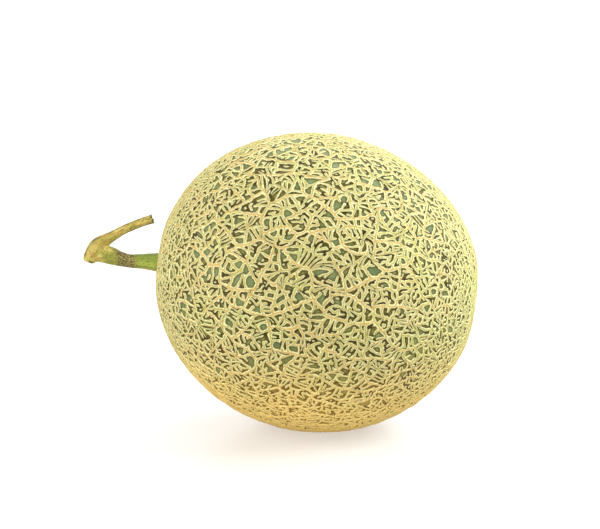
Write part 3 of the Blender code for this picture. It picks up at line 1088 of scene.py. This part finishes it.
def netted_rind_finish():
    """Corky net over grey-green skin, with ragged edges and a fine grain."""
    rind = Finish("netted_rind")
    profile = rind.reading("net_profile")
    bold = rind.reading("net_bold")
    ragged = rind.stray(rind.grain(1500.0), 0.30, -0.15)
    knobbly = rind.stray(rind.grain(620.0, 1.0), 0.70, -0.35)
    level = rind.sums("ADD", profile, rind.sums("ADD", ragged, knobbly))
    # Share near the floor: the real golden ground spot, lightened as painted bounce light
    low = rind.stray(rind.grain(20.0), 0.030, rind.axis(2))
    ground_spot_and_bounce = rind.step(low, 0.018, 0.074, 1.0, 0.0)
    room = rind.sums("ADD", rind.reading("net_room"), rind.stray(rind.grain(300.0, 1.0), 0.5, -0.25))
    skin = rind_skin(rind, level, room, ground_spot_and_bounce)
    cork = rind_cork(rind, level, bold, ground_spot_and_bounce)
    colour = rind.blend(rind.step(level, 0.00, 0.15), skin, cork)
    rind.put(rind.shader.inputs["Base Color"], colour)
    rind.put(rind.shader.inputs["Roughness"], rind.step(level, -0.1, 0.4, 0.46, 0.72))
    rind.shader.inputs["Specular IOR Level"].default_value = 0.12
    fine = rind.height(rind.grain(1800.0, 3.0, 0.6), 0.00022, 0.7)
    lines = rind.height(rind.grain(420.0), 0.0005, 0.5, fine)
    crisp = rind.height(rind.step(level, -0.05, 0.42), 0.0007, 1.0, lines)
    rind.put(rind.shader.inputs["Normal"], crisp)
    return rind.material


# Stage


def add_piece(name, mesh, finish):
    piece = bpy.data.objects.new(name, mesh)
    bpy.context.scene.collection.objects.link(piece)
    mesh.materials.clear()
    mesh.materials.append(finish)
    return piece


def lay_floor():
    sheet = bmesh.new()
    bmesh.ops.create_grid(sheet, x_segments=2, y_segments=2, size=FLOOR_HALF_WIDTH)
    mesh = bpy.data.meshes.new("floor")
    sheet.to_mesh(mesh)
    sheet.free()
    paper = Finish("white_paper")
    paper.shader.inputs["Base Color"].default_value = FLOOR_COLOUR
    paper.shader.inputs["Roughness"].default_value = FLOOR_ROUGHNESS
    paper.shader.inputs["Emission Color"].default_value = FLOOR_GLOW
    paper.shader.inputs["Emission Strength"].default_value = FLOOR_GLOW_STRENGTH
    floor = add_piece("floor", mesh, paper.material)
    floor.location.z = FLOOR_HEIGHT


def add_light(name, place, aim, size, power, colour):
    lamp = bpy.data.lights.new(name, "AREA")
    lamp.shape = "DISK"
    lamp.size = size
    lamp.energy = power
    lamp.color = colour
    holder = bpy.data.objects.new(name, lamp)
    bpy.context.scene.collection.objects.link(holder)
    holder.location = place
    holder.rotation_euler = (Vector(aim) - Vector(place)).to_track_quat("-Z", "Y").to_euler()


def light_studio():
    world = bpy.data.worlds.new("soft_white")
    bpy.context.scene.world = world
    world.use_nodes = True
    back = world.node_tree.nodes["Background"]
    back.inputs["Color"].default_value = WORLD_COLOUR
    back.inputs["Strength"].default_value = 1.0
    for light in LIGHTS:
        add_light(*light)
    bpy.context.scene.view_settings.view_transform = "Standard"


def aim_camera():
    lens = bpy.data.cameras.new("camera")
    camera = bpy.data.objects.new("camera", lens)
    bpy.context.scene.collection.objects.link(camera)
    rise = Vector((0.0, math.sin(CAMERA_RISE), math.cos(CAMERA_RISE)))
    toward = Vector((0.0, math.cos(CAMERA_RISE), -math.sin(CAMERA_RISE)))
    right = (FRAME[0] * 0.5 - FRUIT_IN_FRAME[0]) * PIXEL
    up = (FRUIT_IN_FRAME[1] - FRAME[1] * 0.5) * PIXEL
    target = CENTRE + Vector((right, 0.0, 0.0)) + rise * up
    camera.location = target - toward * CAMERA_AWAY
    camera.rotation_euler = toward.to_track_quat("-Z", "Y").to_euler()
    lens.sensor_fit = "HORIZONTAL"
    lens.sensor_width = SENSOR_WIDTH
    lens.lens = SENSOR_WIDTH * CAMERA_AWAY / (FRAME[0] * PIXEL)
    lens.clip_start = 0.05
    lens.clip_end = 20.0
    bpy.context.scene.camera = camera


def dress_fruit():
    rind = add_piece("rind", grow_rind(), netted_rind_finish())
    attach(rind, "root")
    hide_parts("fruit")


def dress_stem():
    stalk = add_piece("stalk", carve_stalk(), stem_finish("peduncle_green"))
    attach(stalk, "root")
    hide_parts("peduncle")
    vine = add_piece("vine", carve_vine(), stem_finish("vine_bark"))
    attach(vine, "root")
    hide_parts("vine_stub")


aim_camera()
light_studio()
lay_floor()
dress_fruit()
dress_stem()
